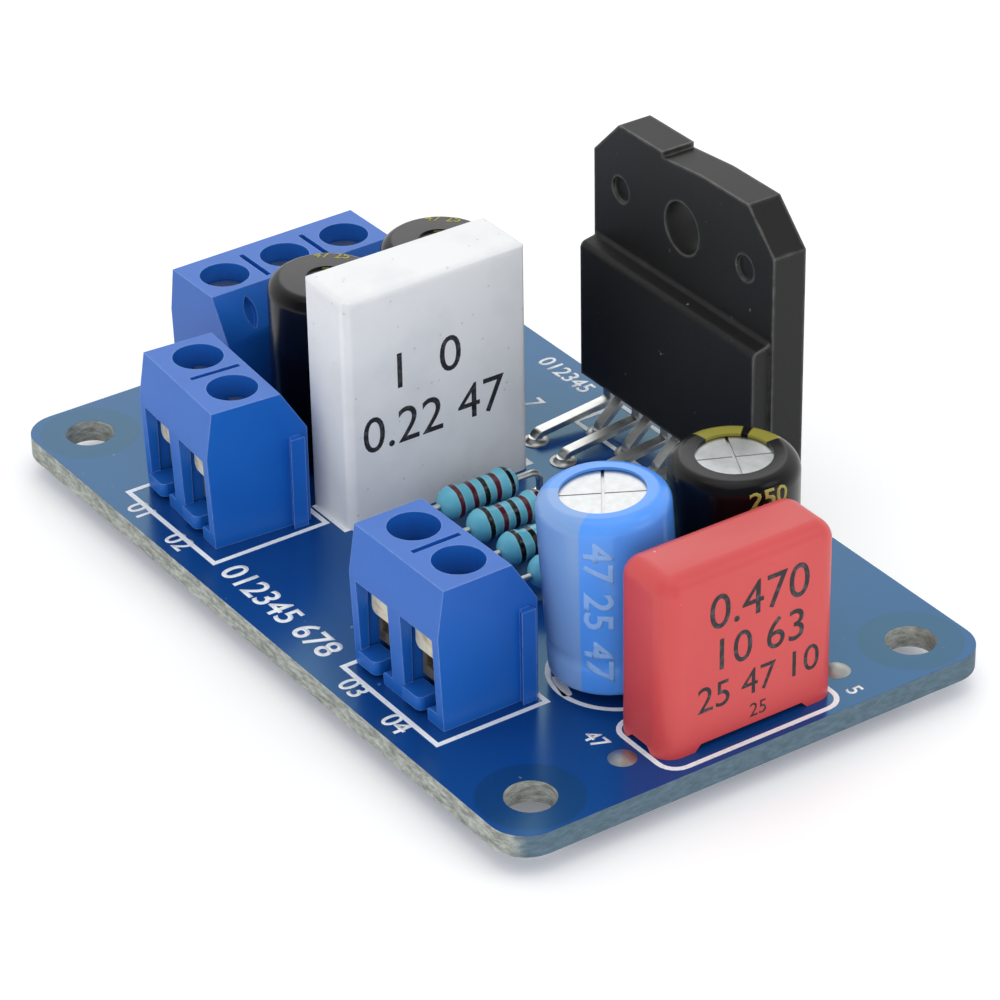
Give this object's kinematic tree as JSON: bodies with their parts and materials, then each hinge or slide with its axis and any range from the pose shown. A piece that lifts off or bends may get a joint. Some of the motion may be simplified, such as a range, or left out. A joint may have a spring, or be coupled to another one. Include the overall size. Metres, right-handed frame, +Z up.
{
  "type": "audio amplifier board",
  "caption": "Audio amplifier board: a small circuit board with an upright power chip, screw terminal blocks, a cement resistor, capacitors and small resistors.",
  "frame": {"origin": "centre of the four board holes, on the board's underside", "axes": "+X along the board's long edge, +Y towards the edge with the chip, +Z up from the board"},
  "size_m": [0.062, 0.0376, 0.0264],
  "materials": {
    "board": "glossy solder mask over glass fibre",
    "tin": "dull tinned metal",
    "terminal_plastic": "satin moulded plastic",
    "clamp_metal": "plated steel",
    "screw_metal": "plated steel",
    "ceramic": "fired ceramic",
    "blue_sleeve": "glossy shrink sleeve",
    "black_sleeve": "glossy shrink sleeve",
    "can": "drawn aluminium",
    "seal": "moulded rubber",
    "red_case": "satin moulded plastic",
    "resistor_lacquer": "glossy lacquer",
    "chip_resin": "moulded resin"
  },
  "bodies": {
    "board": {"circuit_board": "board", "tinned_pads": "tin", "solder_joints": "tin", "power_resistor": "ceramic", "power_resistor_leads": "tin", "film_capacitor": "red_case", "film_capacitor_leads": "tin", "film_resistor_leads": "tin", "amplifier_chip": "chip_resin", "amplifier_chip_leads": "tin", "out_terminal_housing": "terminal_plastic", "out_terminal_contacts": "clamp_metal", "in_terminal_housing": "terminal_plastic", "in_terminal_contacts": "clamp_metal", "power_terminal_housing": "terminal_plastic", "power_terminal_contacts": "clamp_metal", "blue_capacitor_sleeve": "blue_sleeve", "blue_capacitor_can": "can", "blue_capacitor_seal": "seal", "blue_capacitor_leads": "tin", "black_capacitor_sleeve": "black_sleeve", "black_capacitor_can": "can", "black_capacitor_seal": "seal", "black_capacitor_leads": "tin", "supply_capacitor_1_sleeve": "black_sleeve", "supply_capacitor_1_can": "can", "supply_capacitor_1_seal": "seal", "supply_capacitor_1_leads": "tin", "supply_capacitor_2_sleeve": "black_sleeve", "supply_capacitor_2_can": "can", "supply_capacitor_2_seal": "seal", "supply_capacitor_2_leads": "tin", "film_resistor_1": "resistor_lacquer", "film_resistor_2": "resistor_lacquer", "film_resistor_3": "resistor_lacquer", "film_resistor_4": "resistor_lacquer"},
    "out_plate_1": {"out_clamp_plate_1": "clamp_metal"},
    "out_screw_1": {"out_clamp_screw_1": "screw_metal"},
    "out_plate_2": {"out_clamp_plate_2": "clamp_metal"},
    "out_screw_2": {"out_clamp_screw_2": "screw_metal"},
    "in_plate_1": {"in_clamp_plate_1": "clamp_metal"},
    "in_screw_1": {"in_clamp_screw_1": "screw_metal"},
    "in_plate_2": {"in_clamp_plate_2": "clamp_metal"},
    "in_screw_2": {"in_clamp_screw_2": "screw_metal"},
    "power_plate_1": {"power_clamp_plate_1": "clamp_metal"},
    "power_screw_1": {"power_clamp_screw_1": "screw_metal"},
    "power_plate_2": {"power_clamp_plate_2": "clamp_metal"},
    "power_screw_2": {"power_clamp_screw_2": "screw_metal"},
    "power_plate_3": {"power_clamp_plate_3": "clamp_metal"},
    "power_screw_3": {"power_clamp_screw_3": "screw_metal"}
  },
  "joints": [
    {"name": "out_plate_1_slide", "type": "slide", "parent": "board", "child": "out_plate_1", "axis": [0, 0, -1], "range_m": [0, 0.0014]},
    {"name": "out_screw_1_turn", "type": "hinge", "parent": "out_plate_1", "child": "out_screw_1", "pos_m": [-0.01602, -0.01223, 0.01], "axis": [0, 0, -1], "range_deg": [0, 1010]},
    {"name": "out_plate_2_slide", "type": "slide", "parent": "board", "child": "out_plate_2", "axis": [0, 0, -1], "range_m": [0, 0.0014]},
    {"name": "out_screw_2_turn", "type": "hinge", "parent": "out_plate_2", "child": "out_screw_2", "pos_m": [-0.01103, -0.01256, 0.01], "axis": [0, 0, -1], "range_deg": [0, 1010]},
    {"name": "in_plate_1_slide", "type": "slide", "parent": "board", "child": "in_plate_1", "axis": [0, 0, -1], "range_m": [0, 0.0014]},
    {"name": "in_screw_1_turn", "type": "hinge", "parent": "in_plate_1", "child": "in_screw_1", "pos_m": [0.01081, -0.01243, 0.01], "axis": [0, 0, -1], "range_deg": [0, 1010]},
    {"name": "in_plate_2_slide", "type": "slide", "parent": "board", "child": "in_plate_2", "axis": [0, 0, -1], "range_m": [0, 0.0014]},
    {"name": "in_screw_2_turn", "type": "hinge", "parent": "in_plate_2", "child": "in_screw_2", "pos_m": [0.0158, -0.01237, 0.01], "axis": [0, 0, -1], "range_deg": [0, 1010]},
    {"name": "power_plate_1_slide", "type": "slide", "parent": "board", "child": "power_plate_1", "axis": [0, 0, -1], "range_m": [0, 0.0014]},
    {"name": "power_screw_1_turn", "type": "hinge", "parent": "power_plate_1", "child": "power_screw_1", "pos_m": [-0.02512, 0.00529, 0.01], "axis": [0, 0, -1], "range_deg": [0, 1010]},
    {"name": "power_plate_2_slide", "type": "slide", "parent": "board", "child": "power_plate_2", "axis": [0, 0, -1], "range_m": [0, 0.0014]},
    {"name": "power_screw_2_turn", "type": "hinge", "parent": "power_plate_2", "child": "power_screw_2", "pos_m": [-0.02503, 0.00029, 0.01], "axis": [0, 0, -1], "range_deg": [0, 1010]},
    {"name": "power_plate_3_slide", "type": "slide", "parent": "board", "child": "power_plate_3", "axis": [0, 0, -1], "range_m": [0, 0.0014]},
    {"name": "power_screw_3_turn", "type": "hinge", "parent": "power_plate_3", "child": "power_screw_3", "pos_m": [-0.02494, -0.00471, 0.01], "axis": [0, 0, -1], "range_deg": [0, 1010]}
  ],
  "couplings": [
    {"joint": "out_screw_1_turn", "follows": "out_plate_1_slide", "rad_per_m": 12566},
    {"joint": "out_screw_2_turn", "follows": "out_plate_2_slide", "rad_per_m": 12566},
    {"joint": "in_screw_1_turn", "follows": "in_plate_1_slide", "rad_per_m": 12566},
    {"joint": "in_screw_2_turn", "follows": "in_plate_2_slide", "rad_per_m": 12566},
    {"joint": "power_screw_1_turn", "follows": "power_plate_1_slide", "rad_per_m": 12566},
    {"joint": "power_screw_2_turn", "follows": "power_plate_2_slide", "rad_per_m": 12566},
    {"joint": "power_screw_3_turn", "follows": "power_plate_3_slide", "rad_per_m": 12566}
  ]
}
